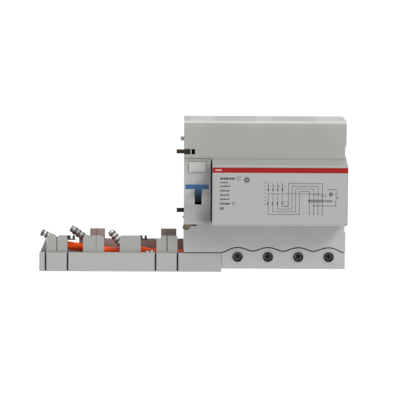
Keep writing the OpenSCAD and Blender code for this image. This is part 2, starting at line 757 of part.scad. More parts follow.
// Notched clips over the conductors. The first stands on the comb's floor, the second
// on the insulating bar.
clip_z = -37.2;
module cable_clips() {
    color(black) {
        for (c = [[-85.1, -35.9], [-32.9, -33.8]]) translate([c[0], c[1], 0]) {
            box(0, 6.5, 0, 2, clip_z, clip_z + 0.7);
            box(0, 3, 0, 2, clip_z + 0.6, clip_z + 3.1);
            box(4.4, 6.1, 0, 2, clip_z + 0.6, clip_z + 3.1);
        }
        box(-86.6, -84.6, -34, -22.4, clip_z, clip_z + 0.7);
        box(-86.6, -84.6, -23.8, -22.4, floor_z + 1.8, clip_z + 0.7);
        box(-32.4, -30.4, -32, -18.8, clip_z, clip_z + 0.7);
        box(-32.4, -30.4, -20.4, -18.8, bar_top, clip_z + 0.7);
    }
}
module housing_screws() {
    color(steel) for (b = boss_at) {
        rod_y(b[0], -26, -2.4, b[1], 1.4);
        difference() {
            rod_y(b[0], -2.4, -0.6, b[1], 2.8);
            for (a = [0, 90]) translate([b[0], -0.6, b[1]]) rotate([0, a, 0])
                cube([3, 1.6, 0.7], center = true);
        }
    }
}

rear_housing();
front_housing();
nose_housing();
terminal_cover();
nose_cover();
rating_label();
toggle_bezel();
reset_lever();
lever_pin();
lever_spring();
test_button();
test_spring();
test_contact();
test_resistor();
circuit_board();
capacitor();
toroid_core();
toroid_winding();
toroid_case();
sensor_leads();
relay_housing();
relay_plunger();
trip_slider();
trip_shaft();
trip_arm();
din_clip();
clip_spring();
upper_coupling_clip();
lower_coupling_clip();
for (k = [1:4]) {
    terminal_screw(k);
    terminal_cage(k);
    busbar(k);
    cable_guard(k);
    conductor(k);
    pin_terminal(k);
}
comb_base();
comb_front();
for (i = [1:2])
    insulator_block(i);
insulator_bar();
cable_clips();
housing_screws();
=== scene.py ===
"""Looks of a four-pole residual current block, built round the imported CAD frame.

The frame's own units are metres. Sizes below are millimetres times MM. +X runs along the
rail away from the breaker, +Y into the rail and +Z up.
"""
import json
import math

import bmesh
import bpy
from mathutils import Matrix, Vector


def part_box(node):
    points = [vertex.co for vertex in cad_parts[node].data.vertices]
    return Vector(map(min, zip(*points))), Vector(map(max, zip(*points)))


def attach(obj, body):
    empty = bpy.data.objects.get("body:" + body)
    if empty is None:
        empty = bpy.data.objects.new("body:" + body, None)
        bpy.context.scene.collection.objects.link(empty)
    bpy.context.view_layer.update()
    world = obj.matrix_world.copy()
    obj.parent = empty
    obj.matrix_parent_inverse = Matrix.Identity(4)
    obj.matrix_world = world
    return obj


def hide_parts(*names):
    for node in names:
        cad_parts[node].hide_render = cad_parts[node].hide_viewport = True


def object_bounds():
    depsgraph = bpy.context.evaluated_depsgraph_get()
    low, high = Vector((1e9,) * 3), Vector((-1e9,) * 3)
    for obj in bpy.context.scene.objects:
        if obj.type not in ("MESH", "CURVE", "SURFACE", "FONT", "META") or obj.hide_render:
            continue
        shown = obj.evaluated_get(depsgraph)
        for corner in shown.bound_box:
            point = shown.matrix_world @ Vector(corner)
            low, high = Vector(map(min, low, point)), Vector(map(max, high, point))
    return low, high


MM = 0.001

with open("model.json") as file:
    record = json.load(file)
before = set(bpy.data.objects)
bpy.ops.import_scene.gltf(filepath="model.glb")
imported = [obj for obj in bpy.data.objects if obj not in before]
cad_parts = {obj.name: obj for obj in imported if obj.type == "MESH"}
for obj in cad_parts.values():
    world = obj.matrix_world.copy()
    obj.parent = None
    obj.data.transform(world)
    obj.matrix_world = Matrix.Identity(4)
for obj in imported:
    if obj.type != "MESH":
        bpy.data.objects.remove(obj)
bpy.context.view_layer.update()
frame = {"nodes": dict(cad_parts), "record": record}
nodes = frame["nodes"]
collection = bpy.context.scene.collection


# ------------------------------------------------------------------ camera, light, floor
# The view that the object is seen from: straight at its front, a little from above.
VIEW_TARGET = Vector((11.504, -44, -6.58)) * MM
VIEW_DISTANCE = 1873.5 * MM
VIEW_ELEVATION = math.radians(6.863)
VIEW_YAW = math.radians(0.711)
VIEW_ROLL = math.radians(0.36)
VIEW_LENS = 233.72
SENSOR_WIDTH = 36
CLIP_NEAR, CLIP_FAR = 0.05, 60

WORLD_STRENGTH = 0.5
FLOOR_REACH = 12
FLOOR_DROP = 0.02


def make_camera():
    data = bpy.data.cameras.new("camera")
    data.lens = VIEW_LENS
    data.sensor_width = SENSOR_WIDTH
    data.clip_start = CLIP_NEAR
    data.clip_end = CLIP_FAR
    camera = bpy.data.objects.new("camera", data)
    collection.objects.link(camera)
    flat = math.cos(VIEW_ELEVATION)
    forward = Vector((math.sin(VIEW_YAW) * flat, math.cos(VIEW_YAW) * flat,
                      -math.sin(VIEW_ELEVATION)))
    turn = forward.to_track_quat("-Z", "Y").to_matrix() @ Matrix.Rotation(VIEW_ROLL, 3, "Z")
    place = VIEW_TARGET - forward * VIEW_DISTANCE
    camera.matrix_world = Matrix.Translation(place) @ turn.to_4x4()
    bpy.context.scene.camera = camera


def area_light(name, place, aim, size, power, colour=(1, 1, 1)):
    data = bpy.data.lights.new(name, "AREA")
    data.shape = "RECTANGLE"
    data.size, data.size_y = size
    data.energy = power
    data.color = colour
    light = bpy.data.objects.new(name, data)
    collection.objects.link(light)
    place = Vector(place)
    turn = (Vector(aim) - place).to_track_quat("-Z", "Y").to_matrix().to_4x4()
    light.matrix_world = Matrix.Translation(place) @ turn


def make_light():
    """Even white light all round, and three soft lights from above: behind, over and in front."""
    world = bpy.data.worlds.new("studio")
    world.use_nodes = True
    background = world.node_tree.nodes["Background"]
    background.inputs["Color"].default_value = (1, 1, 1, 1)
    background.inputs["Strength"].default_value = WORLD_STRENGTH
    bpy.context.scene.world = world
    bpy.context.scene.view_settings.view_transform = "Standard"
    area_light("back_light", (0.05, 0.75, 0.85), (0, -0.02, 0), (0.9, 0.5), 3.6)
    area_light("top_light", (0.08, -0.4, 1.15), (0.02, -0.04, 0), (0.8, 0.5), 3.2)
    area_light("front_light", (1.05, -1.2, 1.15), (0.03, -0.04, 0), (0.6, 0.6), 17)


def make_floor():
    """A pale floor just under the object, which gives off its own even light."""
    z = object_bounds()[0].z - FLOOR_DROP * MM
    far = FLOOR_REACH
    mesh = bpy.data.meshes.new("floor")
    corners = [(-far, -far, z), (far, -far, z), (far, far, z), (-far, far, z)]
    mesh.from_pydata(corners, [], [(0, 1, 2, 3)])
    floor = bpy.data.objects.new("floor", mesh)
    collection.objects.link(floor)
    material = bpy.data.materials.new("floor")
    material.use_nodes = True
    shader = material.node_tree.nodes["Principled BSDF"]
    shader.inputs["Base Color"].default_value = (0.1, 0.1, 0.1, 1)
    shader.inputs["Roughness"].default_value = 1.0
    shader.inputs["Specular IOR Level"].default_value = 0.0
    shader.inputs["Emission Color"].default_value = (1, 1, 1, 1)
    shader.inputs["Emission Strength"].default_value = 1.0
    mesh.materials.append(material)


# ------------------------------------------------------------------ materials
class Nodes:
    """Short calls for building one material's node tree."""

    def __init__(self, name, material=None):
        self.material = material or bpy.data.materials.new(name)
        self.material.use_nodes = True
        self.tree = self.material.node_tree
        self.shader = self.tree.nodes["Principled BSDF"]
        coordinates = self.tree.nodes.new("ShaderNodeTexCoord")
        self.place = coordinates.outputs["Object"]

    @classmethod
    def of(cls, material):
        return cls(material.name, material)

    def share(self, axis, low, high):
        """0 at low and 1 at high (mm) along one axis."""
        split = self.tree.nodes.new("ShaderNodeSeparateXYZ")
        self.link(self.place, split.inputs[0])
        scale = self.tree.nodes.new("ShaderNodeMapRange")
        scale.inputs["From Min"].default_value = low * MM
        scale.inputs["From Max"].default_value = high * MM
        self.link(split.outputs[axis], scale.inputs["Value"])
        return scale.outputs["Result"]

    def set(self, **values):
        for key, value in values.items():
            self.shader.inputs[key.replace("_", " ")].default_value = value

    def link(self, a, b):
        self.tree.links.new(a, b)

    def stretched(self, scale):
        node = self.tree.nodes.new("ShaderNodeMapping")
        node.inputs["Scale"].default_value = scale
        self.link(self.place, node.inputs["Vector"])
        return node.outputs["Vector"]

    def noise(self, per_mm, detail=3, vector=None, rough=0.5):
        node = self.tree.nodes.new("ShaderNodeTexNoise")
        node.inputs["Scale"].default_value = per_mm / MM
        node.inputs["Detail"].default_value = detail
        node.inputs["Roughness"].default_value = rough
        self.link(vector or self.place, node.inputs["Vector"])
        return node.outputs["Fac"]

    def ramp(self, value, stops):
        node = self.tree.nodes.new("ShaderNodeValToRGB")
        band = node.color_ramp
        while len(band.elements) < len(stops):
            band.elements.new(0.5)
        for element, (at, colour) in zip(band.elements, stops):
            element.position = at
            red_green_blue = colour if isinstance(colour, tuple) else (colour,) * 3
            element.color = (*red_green_blue, 1)
        self.link(value, node.inputs["Fac"])
        return node.outputs["Color"]

    def mix(self, a, b, share, mode="MIX"):
        node = self.tree.nodes.new("ShaderNodeMix")
        node.data_type = "RGBA"
        node.blend_type = mode
        if isinstance(share, (int, float)):
            node.inputs["Factor"].default_value = share
        else:
            self.link(share, node.inputs["Factor"])
        for socket, value in ((node.inputs[6], a), (node.inputs[7], b)):
            if isinstance(value, tuple):
                socket.default_value = (*value, 1)
            else:
                self.link(value, socket)
        return node.outputs[2]

    def bump(self, height, strength, distance_mm):
        node = self.tree.nodes.new("ShaderNodeBump")
        node.inputs["Strength"].default_value = strength
        node.inputs["Distance"].default_value = distance_mm * MM
        self.link(height, node.inputs["Height"])
        self.link(node.outputs["Normal"], self.shader.inputs["Normal"])


def tone(colour, factor):
    return tuple(min(1.0, c * factor) for c in colour)


def plastic(name, colour, rough=0.5, grain=0.5, mottle=0.03, gloss=0.4,
            texture_per_mm=3.5):
    """Moulded plastic: slow drifts of tone, fine spark-eroded grain and uneven gloss."""
    m = Nodes(name)
    drift = m.noise(0.035, 2)
    fine = m.noise(0.9, 4)
    base = m.ramp(drift, [(0.3, tone(colour, 1 - mottle)), (0.7, tone(colour, 1 + mottle))])
    specks = m.ramp(fine, [(0.35, 0.96), (0.65, 1.0)])
    m.link(m.mix(base, specks, 1.0, "MULTIPLY"), m.shader.inputs["Base Color"])
    sheen = m.ramp(m.noise(0.12, 3), [(0.3, rough - 0.06), (0.7, rough + 0.06)])
    m.link(sheen, m.shader.inputs["Roughness"])
    m.set(Specular_IOR_Level=gloss)
    m.bump(m.noise(texture_per_mm, 2), grain, 0.03)
    return m.material


def faded(name, colour, low, high, tones, axis=2, **details):
    """Plastic whose tone changes from low to high (mm) along an axis, by rows of (share, tone)."""
    return fade(plastic(name, colour, **details), low, high, tones, axis)


def fade(material, low, high, tones, axis):
    """Multiplies a material's colour by tones that change along an axis."""
    m = Nodes.of(material)
    base = m.shader.inputs["Base Color"].links[0].from_socket
    shade = m.ramp(m.share(axis, low, high), tones)
    m.link(m.mix(base, shade, 1.0, "MULTIPLY"), m.shader.inputs["Base Color"])
    return material


def housing(name, colour):
    """Moulded plastic whose top face has three slightly paler fields along X.

    Its tone also changes with height, by up to about a fifth. That is shading laid into the
    colour, by place on the object, where the lights alone leave the faces too even.
    """
    material = faded(name, tone(colour, 1.12), -60, 52, [
        (0.0, (0.96, 0.97, 0.99)), (0.17, (0.99, 1.0, 1.03)), (0.32, (0.93, 0.945, 0.975)),
        (0.35, 0.9), (0.7, 0.88), (0.73, 0.84), (0.755, 1.0), (0.8, 0.9), (0.85, 0.84),
        (0.93, 0.8), (0.965, 0.84), (0.985, 0.95)], rough=0.45, grain=0.35)
    m = Nodes.of(material)
    fields = m.ramp(m.share(0, 0, 116.5), [
        (0.03, 0.0), (0.045, 1.0), (0.18, 1.0), (0.2, 0.0), (0.44, 0.0), (0.455, 1.0),
        (0.54, 1.0), (0.56, 0.0), (0.8, 0.0), (0.825, 1.0), (1.0, 1.0)])
    base = m.shader.inputs["Base Color"].links[0].from_socket
    paler = m.mix(base, (1.16, 1.16, 1.16), 1.0, "MULTIPLY")
    top = m.ramp(m.share(2, 48.6, 50.6), [(0.6, 0.0), (0.75, 1.0)])
    m.link(m.mix(base, paler, m.mix(fields, top, 1.0, "MULTIPLY")), m.shader.inputs["Base Color"])
    return material


def metal(name, colour, rough=0.3, along="X", brushed=0.25, stain=0.12):
    """Plated or drawn metal: fine drawing lines along one axis and a faint stain."""
    m = Nodes(name)
    scale = [1.0, 1.0, 1.0]
    scale["XYZ".index(along)] = 0.06
    lines = m.noise(4.0, 3, m.stretched(scale))
    dull, bright = tone(colour, 1 - stain), tone(colour, 1 + stain * 0.5)
    m.link(m.ramp(m.noise(0.25, 4), [(0.3, dull), (0.7, bright)]), m.shader.inputs["Base Color"])
    m.link(m.ramp(lines, [(0.3, rough - 0.07), (0.7, rough + 0.1)]), m.shader.inputs["Roughness"])
    m.set(Metallic=1.0)
    m.bump(lines, brushed, 0.02)
    return m.material


def silicone(name, colour):
    """Cable insulation: soft sheen, fine drag marks along it and a little dust."""
    m = Nodes(name)
    drag = m.noise(2.0, 3, m.stretched((0.15, 1, 1)))
    base = m.ramp(m.noise(0.2, 3), [(0.3, tone(colour, 0.88)), (0.7, tone(colour, 1.08))])
    dust = m.mix(base, tone(colour, 1.3), m.ramp(m.noise(1.4, 5), [(0.55, 0.0), (0.8, 0.2)]))
    m.link(dust, m.shader.inputs["Base Color"])
    m.link(m.ramp(drag, [(0.3, 0.34), (0.7, 0.5)]), m.shader.inputs["Roughness"])
    m.set(Specular_IOR_Level=0.2, Subsurface_Weight=0.05, Subsurface_Scale=0.002)
    m.bump(drag, 0.12, 0.03)
    return m.material


def board(name, colour):
    """Circuit board: solder resist over faint copper tracks."""
    m = Nodes(name)
    weave = m.noise(1.2, 2, m.stretched((1, 1, 0.1)))
    tracks = m.ramp(weave, [(0.48, tone(colour, 0.8)), (0.53, tone(colour, 1.35))])
    m.link(tracks, m.shader.inputs["Base Color"])
    m.set(Roughness=0.3, Specular_IOR_Level=0.5)
    m.bump(weave, 0.1, 0.03)
    return m.material


GREY = (0.392, 0.396, 0.376)
PRINT_TEXTURE = 6
# The record's slots, and further looks for print, for painted shade and highlights on chosen faces, and
# for the gap's dark strips of painted shade.
# The ramps of toggle section, lever and button lay shading into their colour, as housing() does.
SLOT_LOOKS = {
    "housing_grey": lambda n: housing(n, GREY),
    "bezel_grey": lambda n: fade(faded(
        n, (0.475, 0.475, 0.464), 0, 18, [(0.1, 1.0), (0.5, 0.9), (0.95, 0.74)], 0,
        rough=0.38, grain=0.2, gloss=0.5),
        -22, 24, [(0.0, 0.8), (0.28, 0.83), (0.35, 1.0), (0.42, 0.95), (0.48, 0.86), (0.54, 1.0),
                  (0.72, 1.0), (0.79, 0.9), (0.84, 0.83), (1.0, 0.8)], 2),
    "comb_grey": lambda n: plastic(n, (0.395, 0.395, 0.386), 0.45, 0.25),
    "guard_grey": lambda n: plastic(n, (0.342, 0.348, 0.33), 0.4, 0.15, gloss=0.45),
    "label_film": lambda n: plastic(
        n, (0.385, 0.385, 0.378), 0.45, 0.1, 0.015, texture_per_mm=PRINT_TEXTURE),
    "lever_blue": lambda n: fade(faded(
        n, (0.031, 0.108, 0.262), -9, 7, [(0.1, 0.03), (0.34, 0.08), (0.6, 0.58), (0.88, 1.0)],
        rough=0.45, grain=0.15, gloss=0.3), 1, 17, [(0.1, 1.0), (0.9, 0.45)], 0),
    "button_grey": lambda n: faded(
        n, (0.50, 0.50, 0.48), 3, 16, [(0.05, 1.0), (0.5, 0.88), (0.8, 0.8), (1.0, 0.6)], 0,
        rough=0.33, grain=0.15, gloss=0.5),
    "steel": lambda n: metal(n, (0.55, 0.56, 0.58), 0.28),
    "shaft_steel": lambda n: metal(n, (0.035, 0.034, 0.033), 0.35, "X", 0.2, 0.2),
    # Much darker than bare zinc: painted shade of the deep holes that the screws sit in.
    "screw_zinc": lambda n: metal(n, (0.105, 0.105, 0.105), 0.42, "Y", 0.3, 0.5),
    "cage_steel": lambda n: metal(n, (0.55, 0.56, 0.58), 0.35, "Z"),
    "busbar_copper": lambda n: metal(n, (0.72, 0.40, 0.26), 0.35, "Z"),
    "contact_brass": lambda n: metal(n, (0.72, 0.58, 0.30), 0.3, "Z"),
    "clip_bronze": lambda n: metal(n, (0.055, 0.042, 0.03), 0.42, "X", 0.3, 0.35),
    "clip_brass": lambda n: metal(n, (0.20, 0.175, 0.12), 0.42, "X", 0.3, 0.35),
    "clip_black": lambda n: plastic(n, (0.012, 0.012, 0.012), 0.45, 0.3, 0.1),
    "resistor_body": lambda n: plastic(n, (0.28, 0.36, 0.44), 0.3, 0.1),
    "board_green": lambda n: board(n, (0.02, 0.11, 0.05)),
    "capacitor_sleeve": lambda n: plastic(n, (0.015, 0.015, 0.018), 0.3, 0.1, 0.1),
    "core_metal": lambda n: metal(n, (0.30, 0.31, 0.33), 0.35, "X"),
    "winding_copper": lambda n: metal(n, (0.60, 0.27, 0.12), 0.3, "Z", 0.6),
    "carrier_white": lambda n: plastic(n, (0.62, 0.62, 0.58), 0.45, 0.2),
    "lead_sleeve": lambda n: plastic(n, (0.55, 0.55, 0.6), 0.45, 0.1),
    "relay_black": lambda n: plastic(n, (0.015, 0.015, 0.017), 0.4, 0.2, 0.1),
    "insulator_mauve": lambda n: plastic(n, (0.338, 0.276, 0.255), 0.6, 0.5, 0.25),
    "cable_orange": lambda n: silicone(n, (0.88, 0.078, 0.0015)),
    "crimp_rib_and_bore_shade": lambda n: metal(n, (0.13, 0.13, 0.125), 0.5, "X", 0.3, 0.25),
    "crimp_tin_painted_shade": lambda n: metal(n, (0.38, 0.37, 0.36), 0.5, "X", 0.3, 0.25),
    "comb_shadow": lambda n: plastic(n, (0.03, 0.03, 0.03), 0.7, 0.1),
    "painted_gap_shade": lambda n: plastic(n, (0.008, 0.008, 0.008), 0.8, 0.1, gloss=0.1),
    "painted_edge_highlight": lambda n: plastic(n, tone(GREY, 1.35), 0.3, 0.1, gloss=0.6),
    "painted_root_shade": lambda n: plastic(n, tone(GREY, 0.82), 0.5, 0.2),
    "bore_shade": lambda n: plastic(n, (0.22, 0.22, 0.215), 0.5, 0.2),
    "painted_screw_glint": lambda n: metal(n, (0.75, 0.75, 0.76), 0.4, "Y", 0.2, 0.3),
    "print_red": lambda n: plastic(
        n, (0.30, 0.010, 0.005), 0.6, 0.05, 0.03, gloss=0.2, texture_per_mm=PRINT_TEXTURE),
    "print_pale": lambda n: plastic(
        n, (0.62, 0.28, 0.25), 0.4, 0.05, 0.03, texture_per_mm=PRINT_TEXTURE),
    "print_ink": lambda n: plastic(
        n, (0.07, 0.07, 0.075), 0.45, 0.05, 0.05, texture_per_mm=PRINT_TEXTURE),
    "crimp_tin": lambda n: metal(n, (0.66, 0.66, 0.63), 0.5, "X", 0.3, 0.25),
}
looks = {}


def look(slot):
    """One material for each look, made when it is first asked for."""
    if slot not in looks:
        looks[slot] = SLOT_LOOKS[slot](slot)
    return looks[slot]


NODE_SLOT = {p["node"]: p["material_slot"] for p in frame["record"]["subparts"]}
BODIES = frame["record"]["behaviour"]["bodies"]
NODE_BODY = {node: body for body, members in BODIES.items() for node in members}


# ------------------------------------------------------------------ pieces
# Limits for cleaning up and rounding a CAD mesh: lengths in millimetres.
SAME_POINT = 0.002
SHORTEST_EDGE = 0.005
ROUNDED_FROM = 0.5
FLAT_DEGREES = 0.6
SHARP_DEGREES = 35


def finish_piece(piece, node, replace=True, slot=None):
    """Gives a new piece its look, and lets it ride with its CAD node's body."""
    slot = slot or NODE_SLOT[node]
    if not piece.data.materials:
        piece.data.materials.append(look(slot))
    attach(piece, NODE_BODY[node])
    if replace:
        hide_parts(node)
    return piece


def smooth_by_angle(mesh, degrees=32):
    for face in mesh.polygons:
        face.use_smooth = True
    mesh.set_sharp_from_angle(angle=math.radians(degrees))


def even_normals(piece):
    """Keeps large flat faces evenly lit next to rounded edges."""
    modifier = piece.modifiers.new("even_normals", "WEIGHTED_NORMAL")
    modifier.keep_sharp = True


def new_piece(name, build, degrees=32):
    """A mesh object from a bmesh that build has just filled."""
    mesh = bpy.data.meshes.new(name)
    build.normal_update()
    build.to_mesh(mesh)
    build.free()
    smooth_by_angle(mesh, degrees)
    piece = bpy.data.objects.new(name, mesh)
    collection.objects.link(piece)
    even_normals(piece)
    return piece


def edge_angle(edge):
    """The angle between an edge's two faces, or 0 at an open edge."""
    if len(edge.link_faces) != 2:
        return 0.0
    return edge.calc_face_angle(0.0)


def softened(node, width, keep=None, segments=2, edge_look=None):
    """A copy of a CAD node with its sharp convex edges rounded to width (mm)."""
    build = bmesh.new()
    build.from_mesh(nodes[node].data)
    bmesh.ops.remove_doubles(build, verts=build.verts, dist=SAME_POINT * MM)
    bmesh.ops.dissolve_limit(build, angle_limit=math.radians(FLAT_DEGREES), verts=build.verts,
                             edges=build.edges, use_dissolve_boundaries=False)
    bmesh.ops.dissolve_degenerate(build, edges=build.edges, dist=SHORTEST_EDGE * MM)
    chosen = [e for e in build.edges
              if edge_angle(e) > math.radians(SHARP_DEGREES) and e.is_convex
              and e.calc_length() > ROUNDED_FROM * MM and (keep is None or keep(e))]
    if chosen:
        bmesh.ops.bevel(build, geom=chosen, offset=width * MM, offset_type="OFFSET",
                        segments=segments, profile=0.5, affect="EDGES", clamp_overlap=True,
                        material=1 if edge_look else -1)
    piece = finish_piece(new_piece("soft_" + node, build), node)
    if edge_look:
        piece.data.materials.append(look(edge_look))
    return piece


# ------------------------------------------------------------------ cables
# The conductors' routes are those of the CAD solids, in millimetres.
WIRE_R = 3
RISER = [(22.2, -31), (22.2, -24.6), (15.8, -24.6), (15.8, -31)]
BAR_Z = [-6, -1, 4, 9]
BEND_R = 6.4
LANE_Z = [-53.95, -53.95, -47.9, -47.9]
TAIL_TIP = [(-103.8, -31, -32), (-81.9, -28, -29.5), (-53.4, -32, -31), (-28.4, -32.4, -48)]
TAIL_BASE = [(-95.8, -31, -36.2), (-70.5, -26.4, -38.1), (-45, -32, -41), (-20, -32.4, -46.6)]
TAIL_OVERLAP = 0.6
RISER_Z = -28
BAR_GAP = 0.05
TAIL_R = [2.6, 2.95, 2.8, 2.55]
LANE_POINTS = [
    [(-92, -31, -39.8), (-84.6, -31, -41.7), (-73.7, -31, -43.3), (-62, -31, -45.6), (-53, -31, -45.9),
     (-46.5, -31, -46.9), (-39.5, -31, -50.6), (-30, -31, -53.5), (-20, -31, -53.95), (-5, -31, -53.95)],
    [(-66, -25.4, -41.6), (-61.5, -24.8, -44.4), (-56, -24.6, -46.4), (-50, -24.6, -47.2),
     (-43, -24.6, -48.4), (-36, -24.6, -51), (-29, -24.6, -53.4), (-20, -24.6, -53.95),
     (-5, -24.6, -53.95)],
    [(-40, -31.2, -42.8), (-34, -29, -44.9), (-28, -26.4, -46.6), (-20, -24.8, -47.7),
     (-5, -24.6, -47.9)],
    [(-14, -32, -47.4), (-8, -31.3, -47.8), (-2, -31, -47.9)],
]


def route(k):
    """Points of a conductor: from its pin along the comb, round a bend and up to its bar."""
    base, tip = Vector(TAIL_BASE[k]), Vector(TAIL_TIP[k])
    x, y = RISER[k]
    z = LANE_Z[k]
    points = [base, base - TAIL_OVERLAP * (tip - base).normalized()]
    points += [Vector(p) for p in LANE_POINTS[k]]
    for angle in range(0, 91, 30):
        a = math.radians(angle)
        points.append(Vector((x - BEND_R + BEND_R * math.sin(a), y,
                              z + BEND_R - BEND_R * math.cos(a))))
    return points + [Vector((x, y, RISER_Z)), Vector((x, y, BAR_Z[k] - BAR_GAP))]


def smooth_route(points, steps):
    """Points of the smooth curve through all of the given ones."""
    out = []
    for i in range(len(points) - 1):
        before, a, b = points[max(i - 1, 0)], points[i], points[i + 1]
        after = points[min(i + 2, len(points) - 1)]
        for k in range(steps):
            t = k / steps
            square = 2 * before - 5 * a + 4 * b - after
            cube = 3 * a - before - 3 * b + after
            out.append(0.5 * (2 * a + (b - before) * t + square * t * t + cube * t ** 3))
    return out + [points[-1]]


def tube(name, points, radius, sides=24):
    """A closed round tube along points, in millimetres."""
    build = bmesh.new()
    rings = []
    side = None
    for i, p in enumerate(points):
        ahead = (points[min(i + 1, len(points) - 1)] - points[max(i - 1, 0)]).normalized()
        if side is None:
            side = ahead.cross(Vector((0.02, 1, 0.01))).normalized()
        else:
            side = (side - ahead * side.dot(ahead)).normalized()
        up = ahead.cross(side)
        rings.append([build.verts.new((p + radius * (math.cos(a) * side + math.sin(a) * up)) * MM)
                      for a in (2 * math.pi * k / sides for k in range(sides))])
    for a, b in zip(rings, rings[1:]):
        for k in range(sides):
            build.faces.new((a[k], a[(k + 1) % sides], b[(k + 1) % sides], b[k]))
    build.faces.new(rings[0][::-1])
    build.faces.new(rings[-1])
    bmesh.ops.recalc_face_normals(build, faces=build.faces)
    return new_piece(name, build, 40)


def lathe(name, profile, base, tip, sides=40):
    """A turned piece from base towards tip. Profile rows are (distance, radius, material)."""
    axis = (tip - base).normalized()
    side = axis.cross(Vector((0, 1, 0))).normalized()
    up = axis.cross(side)
    build = bmesh.new()
    rings = []
    for distance, radius, _ in profile:
        centre = base + axis * distance
        rings.append([build.verts.new((centre + radius * (math.cos(a) * side + math.sin(a) * up)) * MM)
                      for a in (2 * math.pi * k / sides for k in range(sides))])
    for row, (a, b) in enumerate(zip(rings, rings[1:])):
        for k in range(sides):
            face = build.faces.new((a[k], a[(k + 1) % sides], b[(k + 1) % sides], b[k]))
            face.material_index = profile[row][2]
    build.faces.new(rings[0][::-1]).material_index = 0
    build.faces.new(rings[-1]).material_index = 1
    bmesh.ops.recalc_face_normals(build, faces=build.faces)
    return new_piece(name, build, 25)


RIB_PITCH = 3.1


def crimp(k):
    """A pin terminal's ribbed sleeve, with an open end."""
    base, tip = Vector(TAIL_BASE[k]), Vector(TAIL_TIP[k])
    length = (tip - base).length
    rib = TAIL_R[k]
    core = rib - 0.45
    profile = [(0.01, core, 0)]
    for i in range(int((length + 0.8) / RIB_PITCH)):
        start = 0.6 + i * RIB_PITCH
        profile += [(start, core, 1), (start + 0.08, rib - 0.11, 1), (start + 0.25, rib, 1),
                    (start + 1.35, rib, 1), (start + 1.52, rib - 0.11, 1), (start + 1.6, core, 0)]
    profile = [row for row in profile if row[0] < length - 0.3]
    # The open end's inner wall and floor take the dark rib look, as painted shade.
    profile += [(length - 0.25, core, 0), (length, core - 0.25, 0), (length, core - 0.65, 1),
                (length - 1.6, core - 0.75, 1)]
    piece = lathe(f"crimp_{k + 1}", profile, base, tip)
    # Crimp 2 takes a darker copy of the tin look: painted shade.
    piece.data.materials.append(look("crimp_tin_painted_shade" if k == 1 else "crimp_tin"))
    piece.data.materials.append(look("crimp_rib_and_bore_shade"))
    return finish_piece(piece, f"pin_terminal_{k + 1}")


def cable(k):
    piece = tube(f"cable_{k + 1}", smooth_route(route(k), 6), WIRE_R)
    return finish_piece(piece, f"conductor_{k + 1}")


# ------------------------------------------------------------------ label print
PRINT_Y = -65.975
BAND_Y = -66.012
MARK_Y = -66.02


class Print:
    """Flat shapes on the label's face, in millimetres of X and Z."""

    def __init__(self):
        self.build = bmesh.new()

    def shape(self, points, y=PRINT_Y):
        self.build.faces.new([self.build.verts.new((x * MM, y * MM, z * MM)) for x, z in points])

    def bar(self, x0, z0, x1, z1, y=PRINT_Y):
        self.shape([(x0, z0), (x1, z0), (x1, z1), (x0, z1)], y)

    def stroke(self, points, width):
        for (ax, az), (bx, bz) in zip(points, points[1:]):
            length = math.hypot(bx - ax, bz - az)
            ux, uz = (bx - ax) / length * width / 2, (bz - az) / length * width / 2
            ax, az, bx, bz = ax - ux, az - uz, bx + ux, bz + uz
            self.shape([(ax - uz, az + ux), (ax + uz, az - ux),
                        (bx + uz, bz - ux), (bx - uz, bz + ux)])

    def disc(self, x, z, r, sides=20):
        turns = [2 * math.pi * k / sides for k in range(sides)]
        self.shape([(x + r * math.cos(a), z + r * math.sin(a)) for a in turns])

    def circle(self, x, z, r, width, sides=20):
        turns = [2 * math.pi * k / sides for k in range(sides + 1)]
        self.stroke([(x + r * math.cos(a), z + r * math.sin(a)) for a in turns], width)

    def finish(self, name, slot):
        for face in self.build.faces:
            if face.normal.y > 0:
                face.normal_flip()
        piece = new_piece(name, self.build)
        piece.data.materials.append(look(slot))
        return finish_piece(piece, "rating_label", replace=False, slot="label_film")


def words(print_, x, z, height, lengths, space=0.35):
    """A row of short bars that stands for a line of print."""
    for length in lengths:
        print_.bar(x, z - height, x + length, z)
        x += length + space


def label_print():
    """A red band, a plain bar on it, and bars and signs that stand for the small print."""
    band = Print()
    band.bar(20.05, 15.7, 116.75, 19.4, BAND_Y)
    band.finish("label_band", "print_red")
    mark = Print()
    mark.bar(22, 17, 26.7, 18.2, MARK_Y)
    mark.finish("label_mark", "print_pale")

    ink = Print()
    rows = [
        (12.3, 1.25, [2.2, 3.6, 1.6, 1.9]),
        (9.1, 0.7, [1.1, 2.2, 1.7]),
        (6.5, 0.8, [1.2, 0.9, 2.4, 1.7]),
        (3.3, 0.85, [1.7, 1.4, 0.9, 1.6]),
        (0.2, 0.8, [2.2, 1.3, 0.6, 1.5]),
        (-2.8, 0.8, [2.0, 1.7, 0.7, 1.4]),
        (-5.9, 1.0, [1.7, 1.3, 3.2]),
        (-9, 1.5, [1.0, 1.1]),
    ]
    for z, height, lengths in rows:
        words(ink, 25.6, z, height * 1.25, lengths, 0.3)
    # Small signs: a plain frame and a ring with rays right of the first row, a ring lower down.
    ink.stroke([(37.4, 12.9), (40.2, 12.9), (40.2, 10.5), (37.4, 10.5), (37.4, 12.9)], 0.26)
    for x in (38.2, 39.4):
        ink.stroke([(x, 12.3), (x, 11.1)], 0.3)
    ink.circle(34.9, -6.4, 0.8, 0.3, 12)
    ink.circle(44.5, 10.6, 1.25, 0.5, 16)
    ink.stroke([(43.9, 9.9), (43.9, 11.3)], 0.35)
    ink.stroke([(44.9, 9.9), (44.9, 11.3)], 0.4)
    for i in range(8):
        a = math.pi * i / 4
        ink.stroke([(44.5 + 1.5 * math.cos(a), 10.6 + 1.5 * math.sin(a)),
                    (44.5 + 2.3 * math.cos(a), 10.6 + 2.3 * math.sin(a))], 0.55)
    wiring(ink)
    ink.finish("label_ink", "print_ink")


